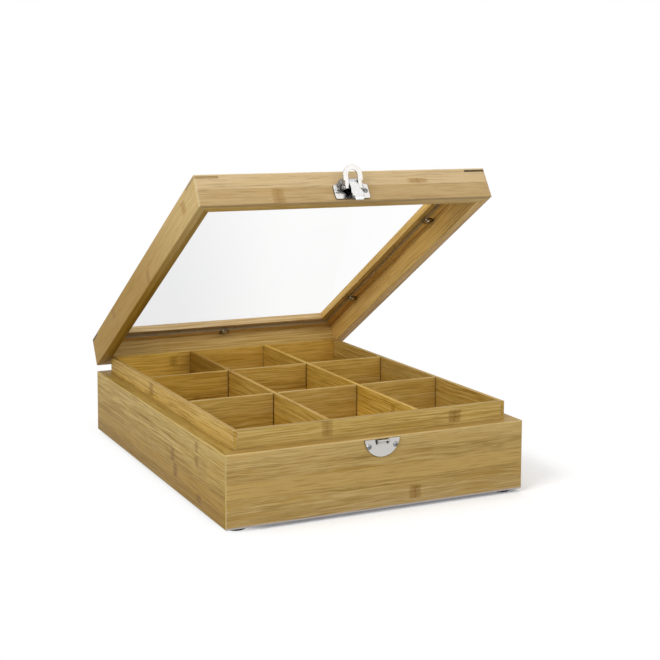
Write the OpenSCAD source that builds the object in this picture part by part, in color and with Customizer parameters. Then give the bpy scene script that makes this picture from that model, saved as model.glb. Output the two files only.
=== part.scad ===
// Hinged bamboo box with nine compartments, a window in its lid, stop hinges and an over-centre latch.
// Millimetres. +X is to the right, +Y to the back, +Z up. The box stands on its feet at z = 0, with the
// origin under the middle of everything from the strike's bar to the half-open lid's back edge.

/* [Box] */
// Width of the box
box_w = 225; // [180:1:300]
// Depth of the box, front face to back face
box_d = 288; // [220:1:360]
// Height of the base's outer walls
base_h = 49.5; // [38:0.5:70]
// Thickness of the base's outer walls
wall_t = 9.5; // [8:0.5:14]
// Thickness of the bottom panel
bottom_t = 3; // [2:0.5:6]
// Rounding of the upright corners
corner_r = 1.6; // [0.8:0.1:4]
// Rounding of the outer edges where the base and the lid meet
rim_edge_r = 0.8; // [0.4:0.1:1.5]
// Rounding of the base's lower outer edges
base_edge_r = 2.2; // [0.5:0.1:3]

/* [Feet] */
// Diameter of a foot pad
foot_d = 14; // [8:0.5:20]
// Height of a foot pad
foot_h = 2; // [1:0.5:5]
// Distance from the box's sides to a foot's centre
foot_inset = 11.5; // [10:0.5:24]

/* [Liner and dividers] */
// Thickness of the liner boards
liner_t = 3; // [2:0.5:5]
// Gap between the liner and the outer walls
liner_gap = 0.1; // [0.05:0.05:0.4]
// Height that the liner stands above the base's rim
lip_h = 12.8; // [8:0.2:14]
// Thickness of the dividers
divider_t = 3; // [2:0.5:5]
// Gap on each side of a divider in the slot that it crosses
slot_gap = 0.7; // [0.2:0.1:0.9]
// Gap between a divider's end and the liner
end_gap = 0.5; // [0.2:0.1:0.9]

/* [Lid] */
// Height of the lid
lid_h = 24; // [22:0.5:34]
// Gap between the closed lid and the base's rim
lid_gap = 0.3; // [0.2:0.1:0.6]
// Gap between the closed lid's rails and the liner
lip_clear = 0.5; // [0.4:0.1:0.9]
// Thickness of the lid's top frame
frame_t = 7.6; // [6:0.2:9]
// Width of the lid's top frame, outer face to window
frame_w = 21.5; // [20:0.5:34]
// Rounding of the lid's upper outer edges
lid_edge_r = 2; // [0.5:0.25:3]
// Angle at which the lid stands open in the stored pose
lid_open = 31.5; // [0:0.5:95]
// Furthest angle that the hinges' stops let the lid reach
lid_open_max = 95; // [91:1:100]

/* [Window] */
// Thickness of the window pane
pane_t = 2; // [1.5:0.5:3]
// Width of the pane's margin that lies on the frame
pane_margin = 5.5; // [4.5:0.5:6]
// Gap between the pane's edge and its rebate
pane_gap = 0.4; // [0.2:0.1:0.8]
// Diameter of a pane clip
clip_d = 8.6; // [7:0.2:9]
// Thickness of a pane clip
clip_t = 1; // [0.6:0.1:1.2]
// Gap between a pane clip and the rail beside it
clip_gap = 0.4; // [0.2:0.1:0.8]
// Distance from the lid's front and back faces to the clips on its sides
clip_inset = 70; // [50:1:90]

/* [Corner keys] */
// Length of a corner key along each face
key_leg = 17.5; // [10:0.5:20]
// Thickness of a corner key
key_t = 1.6; // [1:0.1:2.5]
// Depth of a corner key's middle below the lid's top
key_drop = 2.8; // [2.6:0.1:3.6]
// Gap around a corner key in its slot
key_gap = 0.04; // [0.02:0.01:0.1]

/* [Screws] */
// Radius of the heads
head_r = 1.9; // [1.5:0.1:2.2]
// Height of the heads
head_h = 1; // [0.6:0.1:1.4]
// Radius of the shanks
shank_r = 1; // [0.6:0.1:1.2]
// Length of the shanks under the head
shank_l = 7; // [4:0.5:8]
// Length of the pane clips' shanks, which stay inside the top frame
clip_shank_l = 6; // [4:0.5:6.5]
// Radial gap around a shank in the metal that it holds
screw_gap = 0.2; // [0.1:0.05:0.3]
// Radial gap around a shank in its pilot hole
pilot_gap = 0.02; // [0.01:0.01:0.05]

/* [Hinges] */
// Distance from the box's middle to a hinge's middle
hinge_x = 62; // [40:1:75]
// Width of a hinge
hinge_w = 24; // [20:1:32]
// Height of a hinge leaf on the wood
leaf_h = 14; // [12:0.5:16]
// Thickness of the hinges' metal
leaf_t = 1; // [0.8:0.1:1.4]
// Distance from the back face to the hinge pins
pin_back = 7.5; // [6:0.5:10]
// Height of the hinge pins above the base's rim
pin_up = 1; // [0.5:0.25:2]
// Radius of the hinge pins
pin_r = 0.9; // [0.7:0.1:1]
// Radius of the knuckles
knuckle_r = 2.1; // [1.9:0.1:2.6]
// Length of the middle knuckle
knuckle_mid = 9; // [7:0.5:11]
// Gap between neighbouring knuckles
knuckle_gap = 0.3; // [0.2:0.05:0.5]
// Height of the lid stop behind the pin
stop_h = 4.5; // [3.5:0.5:6]
// Gap left at the lid stop when the lid is fully open
stop_gap = 0.12; // [0.1:0.02:0.3]
// Radial running gap around a pivot
run_gap = 0.05; // [0.03:0.01:0.1]

/* [Strike] */
// Width of the half-moon strike plate
strike_w = 26.4; // [24:0.2:30]
// Height of the strike plate
strike_h = 12.2; // [11:0.2:14]
// Thickness of the strike plate
strike_t = 0.9; // [0.7:0.1:1.1]
// Distance from the base's rim down to the strike plate
strike_drop = 0.9; // [0.5:0.1:2]
// Distance between the strike's screws
strike_screws_x = 20; // [18:0.5:22]
// Distance from the strike's top edge down to its screws
strike_screws_z = 4.7; // [4:0.1:6]
// Width of the bar that the latch's link hooks under
bar_w = 9; // [8.8:0.1:11]
// Height of the bar
bar_h = 1.1; // [0.8:0.1:1.4]
// Thickness of the bar
bar_t = 0.9; // [0.7:0.1:1]
// Distance from the wood to the back of the bar
bar_out = 2.25; // [2.25:0.05:2.6]

/* [Latch plate] */
// Width across the plate's wings
plate_w = 26.5; // [25:0.5:30]
// Height of the plate's wings
wing_h = 11; // [9:0.5:12]
// Height of the whole plate
plate_h = 15.6; // [14:0.2:18]
// Thickness of the plate
plate_t = 1; // [0.8:0.1:1]
// Distance from the lid's lower edge up to the plate
plate_up = 1.6; // [1:0.1:2.5]
// Distance between the plate's screws
plate_screws_x = 21.4; // [20:0.2:23]
// Height of the plate's screws above the lid's lower edge
plate_screws_z = 7.4; // [6:0.1:9]

/* [Latch lever] */
// Height of the lever's pivot above the lid's lower edge
pivot_up = 9; // [8:0.1:10]
// Distance from the lid's front face to the lever's pivot
pivot_out = 3.3; // [3.2:0.05:3.8]
// Radius of the lever's rivets
rivet_r = 0.8; // [0.6:0.05:0.9]
// Length of the lever, pivot to tip
lever_l = 15.4; // [14:0.1:16]
// Width of the lever's rounded end
lever_w = 14.8; // [13.6:0.1:16]
// Width of the opening in the lever
ring_w = 7.2; // [7:0.1:7.6]
// Width of the metal at the lever's tip
ring_tip = 3.5; // [2.5:0.1:4.5]
// Thickness of the lever's metal
lever_t = 0.9; // [0.7:0.1:1]
// Distance between the lever's cheeks, outside
cheek_w = 12.8; // [12.4:0.1:13]
// Height of the lever's cheeks above the pivot
cheek_h = 6.5; // [6:0.1:8]
// Angle at which the lever stands off in the stored pose
lever_open = 20; // [0:1:60]

/* [Latch link] */
// Height of the link's pin above the lever's pivot when the latch is shut
link_up = 4; // [3.6:0.1:4.4]
// Distance that the link's pin lies behind the lever's pivot when shut, which keeps the latch shut
link_in = 0.5; // [0.3:0.05:0.6]
// Radius of the link's pin
link_pin_r = 0.7; // [0.5:0.05:0.75]
// Radius of the link's eye
eye_r = 1.45; // [1.3:0.05:1.5]
// Thickness of the link
link_t = 0.8; // [0.6:0.05:0.85]
// Width of the link at its eye
link_w = 6.4; // [5.8:0.1:6.6]
// Width of the link above its hook
link_foot_w = 8.2; // [7:0.1:8.6]
// Width of the link's hook
hook_w = 6.4; // [5:0.1:6.6]
// Height of the hook's lip above the middle of its bend
lip_up = 0.9; // [0.6:0.1:1]
// Turn of the link against each degree of the lever
link_ratio = -1.75; // [-1.8:0.05:-1.7]

/* [Hidden] */
$fn = 64;
columns = 3;
rows = 3;
bamboo = [0.80, 0.66, 0.44];
bamboo_light = [0.86, 0.73, 0.52];
bamboo_inside = [0.66, 0.50, 0.26];
key_wood = [0.42, 0.28, 0.13];
steel = [0.80, 0.81, 0.83];
rubber = [0.08, 0.08, 0.08];
clear = [0.82, 0.88, 0.90, 0.35];
cut = 1;                                    // how far a cut runs past the face that it opens

wood_z = foot_h;                            // underside of the wood
floor_z = wood_z + bottom_t;                // upper face of the bottom panel
rim_z = wood_z + base_h;                    // upper edge of the outer walls
liner_z = rim_z + lip_h;                    // upper edge of the liner
liner_w = box_w - 2 * (wall_t + liner_gap); // outside of the liner
liner_d = box_d - 2 * (wall_t + liner_gap);
inner_w = liner_w - 2 * liner_t;            // inside of the liner
inner_d = liner_d - 2 * liner_t;
divider_h = liner_z - floor_z;
cell_w = (inner_w - (columns - 1) * divider_t) / columns;
cell_d = (inner_d - (rows - 1) * divider_t) / rows;

lid_z = rim_z + lid_gap;                    // lower edge of the closed lid
rail_t = wall_t - lip_clear;                // thickness of the lid's rails
frame_z = lid_z + lid_h - frame_t;          // underside of the lid's top frame
pane_play = 0.05;                           // play above and below the pane
rebate_w = frame_w - pane_margin - pane_gap;
rebate_h = pane_t + 2 * pane_play;
clip_in = rail_t + clip_gap + clip_d / 2;   // outer face of the lid to a clip's centre
key_z = lid_z + lid_h - key_drop;

pin_y = box_d + pin_back;
pin_z = rim_z + pin_up;
stop_in = knuckle_r + stop_h * sin(lid_open_max - 90) + stop_gap;
strap_drop = knuckle_r + 0.4;               // pin's centre to the stop strap that passes under it

strike_z = rim_z - strike_drop;             // upper edge of the strike plate
bar_z = strike_z - 0.2 - bar_h;             // lower edge of the bar
web_t = 0.8;                                // thickness of the two webs that carry the bar
lever_y = -pivot_out;
lever_z = lid_z + pivot_up;
link_y = lever_y + link_in;
link_z = lever_z + link_up;
plate_out = 1.35;                           // lever's pivot to the back of its front plate
lever_face = pivot_out + plate_out;         // wood to the back of the lever's front plate
cheek_t = 0.8;
cheek_gap = 0.25;                           // gap between the lever's cheeks and the plate's ears
ear_in = cheek_w / 2 + cheek_gap;
ear_t = 0.8;
ear_r = 1.8;
strap_front = pivot_out - link_in + eye_r;  // wood to the link's front face when shut
hook_r = (strap_front - strike_t - 0.3) / 2;
hook_y = -(strap_front - hook_r);
hook_z = bar_z;

// The stored pose's front and back limits, which set the origin midway between them.
front_reach = bar_out + bar_t;
back_arm = pin_back + lid_edge_r;
back_rise = lid_z + lid_h - lid_edge_r - pin_z;
back_reach = pin_back + back_rise * sin(lid_open) - back_arm * cos(lid_open) + lid_edge_r;
front_y = -(box_d + back_reach - front_reach) / 2;

FRONT = 0;
RIGHT = 1;
BACK = 2;
LEFT = 3;

// ---- Places -------------------------------------------------------------------------------------

// Puts what is drawn with y = 0 at the box's front face into the part's own frame.
module in_box() {
    translate([0, front_y, 0])
        children();
}

module turn_about(y, z, angle) {
    translate([0, y, z])
        rotate([angle, 0, 0])
            translate([0, -y, -z])
                children();
}

// Opens what is drawn on the closed lid by the stored angle.
module on_lid() {
    in_box()
        turn_about(pin_y, pin_z, -lid_open)
            children();
}

module on_lever() {
    on_lid()
        turn_about(lever_y, lever_z, lever_open)
            children();
}

module on_link() {
    on_lever()
        turn_about(link_y, link_z, link_ratio * lever_open)
            children();
}

// Turns a piece drawn along the front face to one of the four sides.
module on_side(side) {
    half = side % 2 == 0 ? box_d / 2 : box_w / 2;
    translate([0, box_d / 2, 0])
        rotate([0, 0, 90 * side])
            translate([0, -half, 0])
                children();
}

function side_length(side) = side % 2 == 0 ? box_w : box_d;

// Stands a flat shape, drawn as x and z, on the front face and thickens it towards the front.
module front_sheet(thickness, from = 0) {
    translate([0, -from, 0])
        rotate([90, 0, 0])
            linear_extrude(thickness)
                children();
}

// Runs a section, drawn as y and z, along x about the middle.
module along_x(length) {
    translate([-length / 2, 0, 0])
        rotate([90, 0, 90])
            linear_extrude(length)
                children();
}

// ---- Shared shapes ------------------------------------------------------------------------------

module bar_x(radius, length) {
    rotate([0, 90, 0])
        cylinder(r = radius, h = length, center = true);
}

// Both copies of a piece that stands at plus and minus x.
module pair_x(x) {
    for (side = [-1, 1])
        translate([side * x, 0, 0])
            children();
}

// A block of the box's footprint with rounded upright corners.
module footprint_block(z, height) {
    x = box_w / 2 - corner_r;
    translate([0, 0, z]) {
        translate([-x, 0, 0])
            cube([2 * x, box_d, height]);
        translate([-box_w / 2, corner_r, 0])
            cube([box_w, box_d - 2 * corner_r, height]);
        for (y = [corner_r, box_d - corner_r])
            pair_x(x)
                translate([0, y, 0])
                    cylinder(r = corner_r, h = height);
    }
}

// The plan of a mitred bar: its full length at the outer face, cut at 45 degrees at both ends.
module mitre_plan(length, reach) {
    polygon([[-length / 2, 0], [length / 2, 0], [length / 2 - reach, reach], [reach - length / 2, reach]]);
}

// A bar of the drawn section along one side of the box, mitred at its ends.
module mitred_bar(side, z, height, reach) {
    length = side_length(side);
    intersection() {
        on_side(side)
            intersection() {
                along_x(length)
                    children();
                translate([0, 0, z])
                    linear_extrude(height)
                        mitre_plan(length, reach);
            }
        footprint_block(z, height);
    }
}

// A rectangle whose two corners at the outer face are rounded.
module rounded_section(width, height, low_r, top_r) {
    translate([0, low_r])
        square([width, height - low_r - top_r]);
    translate([low_r, 0])
        square([width - low_r, low_r]);
    translate([top_r, height - top_r])
        square([width - top_r, top_r]);
    translate([low_r, low_r])
        circle(r = low_r);
    translate([top_r, height - top_r])
        circle(r = top_r);
}

// A screw with its head's seat at z = 0, its head above and its shank below.
module screw(length) {
    ball_r = (head_r * head_r + head_h * head_h) / (2 * head_h);
    slot_w = 0.45;
    slot_l = 2.2;
    slot_h = 0.5;
    difference() {
        union() {
            intersection() {
                translate([0, 0, head_h - ball_r])
                    sphere(r = ball_r);
                cylinder(r = head_r, h = head_h + cut);
            }
            translate([0, 0, -length])
                cylinder(r = shank_r, h = length);
        }
        for (turn = [0, 90])
            rotate([0, 0, turn])
                translate([-slot_l / 2, -slot_w / 2, head_h - slot_h])
                    cube([slot_l, slot_w, slot_h + cut]);
    }
}

// The pilot hole of a screw whose head's seat is at z = 0, measured through metal of a thickness.
module pilot(length) {
    translate([0, 0, -length - pilot_gap])
        cylinder(r = shank_r + pilot_gap, h = length + cut);
}

// ---- Screw places, shared by the screws, the metal and the wood ----------------------------------

module strike_screw_places(out) {
    pair_x(strike_screws_x / 2)
        translate([0, -out, strike_z - strike_screws_z])
            rotate([90, 0, 0])
                children();
}

module plate_screw_places(out) {
    pair_x(plate_screws_x / 2)
        translate([0, -out, lid_z + plate_screws_z])
            rotate([90, 0, 0])
                children();
}

// The screws of both hinges' leaves, above the pin for up = 1 and below it for up = -1.
module hinge_screw_places(out, up) {
    for (side = [-1, 1])
        translate([side * hinge_x, box_d + out, pin_z + up * leaf_h * 0.6])
            pair_x(hinge_w * 0.3)
                rotate([-90, 0, 0])
                    children();
}

// One clip's place on the front or back rail's middle, or on a side rail at a distance from its middle.
module clip_place(side, along) {
    on_side(side)
        translate([along, clip_in, frame_z])
            rotate([180, 0, 0])
                children();
}

module clip_places() {
    along = box_d / 2 - clip_inset;
    for (side = [FRONT, BACK])
        clip_place(side, 0)
            children();
    for (side = [RIGHT, LEFT], end = [-1, 1])
        clip_place(side, end * along)
            children();
}

// ---- Base ---------------------------------------------------------------------------------------

module base_bottom_panel() {
    color(bamboo_light)
        in_box()
            translate([wall_t - box_w / 2, wall_t, wood_z])
                cube([box_w - 2 * wall_t, box_d - 2 * wall_t, bottom_t]);
}

module base_wall(side) {
    color(bamboo)
        in_box()
            difference() {
                mitred_bar(side, wood_z, base_h, wall_t)
                    translate([0, wood_z])
                        rounded_section(wall_t, base_h, base_edge_r, rim_edge_r);
                if (side == FRONT)
                    strike_screw_places(strike_t)
                        pilot(shank_l);
                if (side == BACK)
                    hinge_screw_places(leaf_t, -1)
                        pilot(shank_l);
            }
}

// A liner board. The side boards run the whole depth, and the end boards stand between them.
module liner_board(side) {
    is_end = side % 2 == 0;
    length = is_end ? inner_w : liner_d;
    color(bamboo_inside)
        in_box()
            on_side(side)
                translate([-length / 2, wall_t + liner_gap, floor_z])
                    cube([length, liner_t, divider_h]);
}

// A divider from front to back, slotted from below where the cross dividers pass.
module long_divider(column) {
    x = -inner_w / 2 + column * cell_w + (column - 1) * divider_t;
    y = wall_t + liner_gap + liner_t;
    slot_w = divider_t + 2 * slot_gap;
    color(bamboo_inside)
        in_box()
            difference() {
                translate([x, y + end_gap, floor_z])
                    cube([divider_t, inner_d - 2 * end_gap, divider_h]);
                for (row = [1 : rows - 1])
                    translate([x - cut, y + row * cell_d + (row - 1) * divider_t - slot_gap, floor_z - cut])
                        cube([divider_t + 2 * cut, slot_w, divider_h / 2 + slot_gap + cut]);
            }
}

// A divider from left to right, slotted from above where the long dividers pass.
module cross_divider(row) {
    y = wall_t + liner_gap + liner_t + row * cell_d + (row - 1) * divider_t;
    slot_w = divider_t + 2 * slot_gap;
    color(bamboo_inside)
        in_box()
            difference() {
                translate([end_gap - inner_w / 2, y, floor_z])
                    cube([inner_w - 2 * end_gap, divider_t, divider_h]);
                for (column = [1 : columns - 1])
                    translate([column * cell_w + (column - 1) * divider_t - inner_w / 2 - slot_gap,
                               y - cut, floor_z + divider_h / 2])
                        cube([slot_w, divider_t + 2 * cut, divider_h / 2 + cut]);
            }
}

module foot(right, back) {
    color(rubber)
        in_box()
            translate([right * (box_w / 2 - foot_inset), back > 0 ? box_d - foot_inset : foot_inset, 0])
                cylinder(d = foot_d, h = foot_h);
}

// ---- Strike -------------------------------------------------------------------------------------

module strike_plate() {
    arc_r = (strike_w * strike_w / 4 + strike_h * strike_h) / (2 * strike_h);
    web_x = bar_w / 2 - web_t / 2;
    color(steel)
        in_box() {
            difference() {
                front_sheet(strike_t)
                    translate([0, strike_z])
                        intersection() {
                            translate([0, arc_r - strike_h])
                                circle(r = arc_r);
                            translate([-strike_w / 2, -strike_h])
                                square([strike_w, strike_h]);
                        }
                strike_screw_places(strike_t + cut)
                    translate([0, 0, -strike_t - 2 * cut])
                        cylinder(r = shank_r + screw_gap, h = strike_t + 3 * cut);
            }
            translate([-bar_w / 2, -bar_out - bar_t, bar_z])
                cube([bar_w, bar_t, bar_h]);
            pair_x(web_x)
                along_x(web_t)
                    polygon([[-strike_t, bar_z + bar_h], [-bar_out - bar_t, bar_z + bar_h],
                             [-bar_out - bar_t, bar_z], [-strike_t, bar_z - 2.6]]);
        }
}

module strike_screws() {
    color(steel)
        in_box()
            strike_screw_places(strike_t)
                screw(shank_l);
}

// ---- Hinges -------------------------------------------------------------------------------------

// The part of a leaf that lies on the wood, above the pin for up = 1 and below it for up = -1.
module leaf_plate(up) {
    arm = knuckle_r - leaf_t;
    low = up > 0 ? arm : -leaf_h;
    translate([-hinge_w / 2, box_d, pin_z + low])
        cube([hinge_w, leaf_t, leaf_h - arm]);
}

module leaf_holes(side, up) {
    translate([-side * hinge_x, 0, 0])
        hinge_screw_places(leaf_t + cut, up)
            translate([0, 0, -leaf_t - 2 * cut])
                cylinder(r = shank_r + screw_gap, h = leaf_t + 3 * cut);
}

// A leaf's arm out to the pin with its knuckle, over a stretch of the pin's length.
module arm_and_knuckle(up, x, length, bore_r) {
    low = up > 0 ? knuckle_r - leaf_t : -knuckle_r;
    difference() {
        union() {
            translate([x - length / 2, box_d, pin_z + low])
                cube([length, pin_back, leaf_t]);
            translate([x, pin_y, pin_z])
                bar_x(knuckle_r, length);
        }
        translate([x, pin_y, pin_z])
            bar_x(bore_r, length + 2 * cut);
    }
}

// The lower leaf carries the outer knuckles and the strap behind the pin that stops the lid.
module hinge_lower_leaf(side) {
    outer = (hinge_w - knuckle_mid) / 2 - knuckle_gap;
    strap_w = knuckle_mid - 1;
    color(steel)
        in_box()
            translate([side * hinge_x, 0, 0]) {
                difference() {
                    leaf_plate(-1);
                    leaf_holes(side, -1);
                }
                for (end = [-1, 1])
                    arm_and_knuckle(-1, end * (hinge_w - outer) / 2, outer, pin_r + pilot_gap);
                along_x(strap_w)
                    translate([0, pin_z]) {
                        translate([box_d, -strap_drop - leaf_t])
                            square([pin_back + stop_in + leaf_t, leaf_t]);
                        translate([pin_y + stop_in, -strap_drop - leaf_t])
                            square([leaf_t, strap_drop + leaf_t + stop_h]);
                    }
            }
}

module hinge_upper_leaf(side) {
    color(steel)
        on_lid()
            translate([side * hinge_x, 0, 0]) {
                difference() {
                    leaf_plate(1);
                    leaf_holes(side, 1);
                }
                arm_and_knuckle(1, 0, knuckle_mid, pin_r + run_gap);
            }
}

module hinge_pin(side) {
    color(steel)
        in_box()
            translate([side * hinge_x, pin_y, pin_z])
                bar_x(pin_r, hinge_w + 0.6);
}

module hinge_lower_screws() {
    color(steel)
        in_box()
            hinge_screw_places(leaf_t, -1)
                screw(shank_l);
}

module hinge_upper_screws() {
    color(steel)
        on_lid()
            hinge_screw_places(leaf_t, 1)
                screw(shank_l);
}

// ---- Lid ----------------------------------------------------------------------------------------

// A rail and its share of the top frame in one section, with the pane's rebate cut from below.
module rail_section() {
    difference() {
        union() {
            rounded_section(rail_t, lid_h, rim_edge_r, lid_edge_r);
            translate([rail_t - cut, lid_h - frame_t])
                square([frame_w - rail_t + cut, frame_t]);
        }
        translate([rebate_w, lid_h - frame_t - cut])
            square([frame_w, rebate_h + cut]);
    }
}

// A thin triangle across a corner, with its legs along the two outer faces.
module corner_key_shape(right, back, gap) {
    leg = key_leg + gap;
    x = right * box_w / 2;
    y = back > 0 ? box_d : 0;
    inward = back > 0 ? -1 : 1;
    translate([0, 0, key_z - key_t / 2 - gap])
        linear_extrude(key_t + 2 * gap)
            polygon([[x, y], [x - right * leg, y], [x, y + inward * leg]]);
}

module lid_rail(side) {
    color(bamboo)
        on_lid()
            difference() {
                mitred_bar(side, lid_z, lid_h, frame_w)
                    translate([0, lid_z])
                        rail_section();
                for (right = [-1, 1], back = [-1, 1])
                    corner_key_shape(right, back, key_gap);
                clip_places()
                    pilot_from_clip();
                if (side == FRONT)
                    plate_screw_places(plate_t)
                        pilot(shank_l);
                if (side == BACK)
                    hinge_screw_places(leaf_t, 1)
                        pilot(shank_l);
            }
}

// A clip's screw seats on the clip's outer face, so its pilot hole starts that much lower.
module pilot_from_clip() {
    translate([0, 0, clip_t])
        pilot(clip_shank_l);
}

module corner_key(right, back) {
    color(key_wood)
        on_lid()
            intersection() {
                corner_key_shape(right, back, 0);
                footprint_block(lid_z, lid_h);
            }
}

module window_pane() {
    inset = rebate_w + pane_gap;
    color(clear)
        on_lid()
            translate([inset - box_w / 2, inset, frame_z + pane_play])
                cube([box_w - 2 * inset, box_d - 2 * inset, pane_t]);
}

module pane_clip(side, end) {
    color(steel)
        on_lid()
            clip_place(side, end * (box_d / 2 - clip_inset))
                difference() {
                    cylinder(d = clip_d, h = clip_t);
                    translate([0, 0, -cut])
                        cylinder(r = shank_r + screw_gap, h = clip_t + 2 * cut);
                }
}

module pane_clip_screws() {
    color(steel)
        on_lid()
            clip_places()
                translate([0, 0, clip_t])
                    screw(clip_shank_l);
}

// ---- Latch --------------------------------------------------------------------------------------

// A rectangle with four round corners, on the middle line and standing on y = 0.
module wing_shape(width, height, radius) {
    translate([radius - width / 2, 0])
        square([width - 2 * radius, height]);
    translate([-width / 2, radius])
        square([width, height - 2 * radius]);
    for (x = [-1, 1], y = [radius, height - radius])
        translate([x * (width / 2 - radius), y])
            circle(r = radius);
}

module latch_plate() {
    wing_r = 1.4;
    neck_r = 2.4;
    neck = 15;
    color(steel)
        on_lid() {
            difference() {
                front_sheet(plate_t)
                    translate([0, lid_z + plate_up]) {
                        wing_shape(plate_w, wing_h, wing_r);
                        wing_shape(neck, plate_h, neck_r);
                        polygon([[-neck / 2 - 3.5, wing_h], [neck / 2 + 3.5, wing_h],
                                 [neck / 2, plate_h - neck_r], [-neck / 2, plate_h - neck_r]]);
                    }
                plate_screw_places(plate_t + cut)
                    translate([0, 0, -plate_t - 2 * cut])
                        cylinder(r = shank_r + screw_gap, h = plate_t + 3 * cut);
            }
            pair_x(ear_in + ear_t / 2)
                difference() {
                    along_x(ear_t)
                        translate([lever_y, lever_z]) {
                            circle(r = ear_r);
                            translate([0, -ear_r])
                                square([pivot_out - plate_t / 2, 2 * ear_r]);
                        }
                    translate([0, lever_y, lever_z])
                        bar_x(rivet_r + pilot_gap, ear_t + 2 * cut);
                }
        }
}

module latch_plate_screws() {
    color(steel)
        on_lid()
            plate_screw_places(plate_t)
                screw(shank_l);
}

// Two headed rivets hold the lever's cheeks in the plate's ears and leave the middle free.
module latch_rivets() {
    inner = cheek_w / 2 - cheek_t - 0.1;
    outer = ear_in + ear_t;
    rivet_head_r = 1.25;
    rivet_head_t = 0.4;
    color(steel)
        on_lid()
            for (side = [-1, 1])
                translate([0, lever_y, lever_z]) {
                    translate([side * (inner + outer) / 2, 0, 0])
                        bar_x(rivet_r, outer - inner);
                    translate([side * (outer + rivet_head_t / 2), 0, 0])
                        bar_x(rivet_head_r, rivet_head_t);
                }
}

// The lever's front plate: two legs that meet in a rounded end round an opening.
module lever_outline() {
    end_r = lever_w / 2;
    ring_r = ring_w / 2;
    leg_low = -1;
    leg_wide = 4.5;
    difference() {
        union() {
            translate([0, lever_l - end_r])
                circle(r = end_r);
            translate([-cheek_w / 2, leg_low])
                square([cheek_w, lever_l - end_r - leg_low]);
            translate([-end_r, leg_wide])
                square([lever_w, lever_l - end_r - leg_wide]);
        }
        translate([0, lever_l - ring_tip - ring_r])
            circle(r = ring_r);
        translate([-ring_r, leg_low - cut])
            square([ring_w, lever_l - ring_tip - ring_r - leg_low + cut]);
    }
}

module latch_lever() {
    color(steel)
        on_lever() {
            front_sheet(lever_t, lever_face)
                translate([0, lever_z])
                    lever_outline();
            pair_x(cheek_w / 2 - cheek_t / 2)
                difference() {
                    along_x(cheek_t)
                        translate([lever_y, lever_z]) {
                            circle(r = ear_r);
                            translate([-plate_out - lever_t / 2, 0])
                                square([plate_out + lever_t / 2, cheek_h]);
                            translate([-cut / 2, 0])
                                square([ear_r + cut / 2, cheek_h - 0.6]);
                        }
                    translate([0, lever_y, lever_z])
                        bar_x(rivet_r + run_gap, cheek_t + 2 * cut);
                    translate([0, link_y, link_z])
                        bar_x(link_pin_r + pilot_gap, cheek_t + 2 * cut);
                }
        }
}

module latch_link_pin() {
    color(steel)
        on_lever()
            translate([0, link_y, link_z])
                bar_x(link_pin_r, cheek_w - 0.1);
}

// The link: an eye on the lever's pin, a strap that widens downwards, and a hook bent in under the bar.
module latch_link() {
    hook_in = hook_r - link_t;
    neck_l = 6.5;
    flare_l = 3;
    foot_z = hook_z + 1.2;
    color(steel)
        on_link()
            difference() {
                union() {
                    translate([0, link_y, link_z])
                        bar_x(eye_r, link_w);
                    front_sheet(link_t, strap_front - link_t) {
                        translate([-link_w / 2, link_z - neck_l])
                            square([link_w, neck_l]);
                        polygon([[-link_w / 2, link_z - neck_l], [link_w / 2, link_z - neck_l],
                                 [link_foot_w / 2, link_z - neck_l - flare_l],
                                 [-link_foot_w / 2, link_z - neck_l - flare_l]]);
                        translate([-link_foot_w / 2, foot_z])
                            square([link_foot_w, link_z - neck_l - flare_l - foot_z]);
                        translate([-hook_w / 2, hook_z])
                            square([hook_w, foot_z - hook_z]);
                    }
                    along_x(hook_w)
                        translate([hook_y, hook_z]) {
                            difference() {
                                circle(r = hook_r);
                                circle(r = hook_in);
                                translate([-hook_r, 0])
                                    square([2 * hook_r, hook_r]);
                            }
                            translate([hook_in, 0])
                                square([link_t, lip_up]);
                        }
                }
                translate([0, link_y, link_z])
                    bar_x(link_pin_r + run_gap, link_w + 2 * cut);
            }
}

// ---- Nodes --------------------------------------------------------------------------------------

base_bottom_panel();
base_wall(FRONT);  // base_front_wall
base_wall(RIGHT);  // base_right_wall
base_wall(BACK);  // base_back_wall
base_wall(LEFT);  // base_left_wall
liner_board(FRONT);  // liner_front
liner_board(RIGHT);  // liner_right
liner_board(BACK);  // liner_back
liner_board(LEFT);  // liner_left
long_divider(1);  // long_divider_left
long_divider(2);  // long_divider_right
cross_divider(1);  // cross_divider_front
cross_divider(2);  // cross_divider_back
foot(-1, -1);  // foot_front_left
foot(1, -1);  // foot_front_right
foot(-1, 1);  // foot_back_left
foot(1, 1);  // foot_back_right
strike_plate();
strike_screws();
hinge_lower_leaf(-1);  // left_hinge_lower_leaf
hinge_lower_leaf(1);  // right_hinge_lower_leaf
hinge_pin(-1);  // left_hinge_pin
hinge_pin(1);  // right_hinge_pin
hinge_lower_screws();
lid_rail(FRONT);  // lid_front_rail
lid_rail(RIGHT);  // lid_right_rail
lid_rail(BACK);  // lid_back_rail
lid_rail(LEFT);  // lid_left_rail
corner_key(-1, -1);  // corner_key_front_left
corner_key(1, -1);  // corner_key_front_right
corner_key(-1, 1);  // corner_key_back_left
corner_key(1, 1);  // corner_key_back_right
window_pane();
pane_clip(FRONT, 0);  // pane_clip_front
pane_clip(RIGHT, -1);  // pane_clip_right_front
pane_clip(RIGHT, 1);  // pane_clip_right_back
pane_clip(BACK, 0);  // pane_clip_back
pane_clip(LEFT, -1);  // pane_clip_left_back
pane_clip(LEFT, 1);  // pane_clip_left_front
pane_clip_screws();
hinge_upper_leaf(-1);  // left_hinge_upper_leaf
hinge_upper_leaf(1);  // right_hinge_upper_leaf
hinge_upper_screws();
latch_plate();
latch_plate_screws();
latch_rivets();
latch_lever();
latch_link_pin();
latch_link();
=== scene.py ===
"""Looks, floor, light and camera for a bamboo tea bag organizer box with a half-open lid."""

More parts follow.
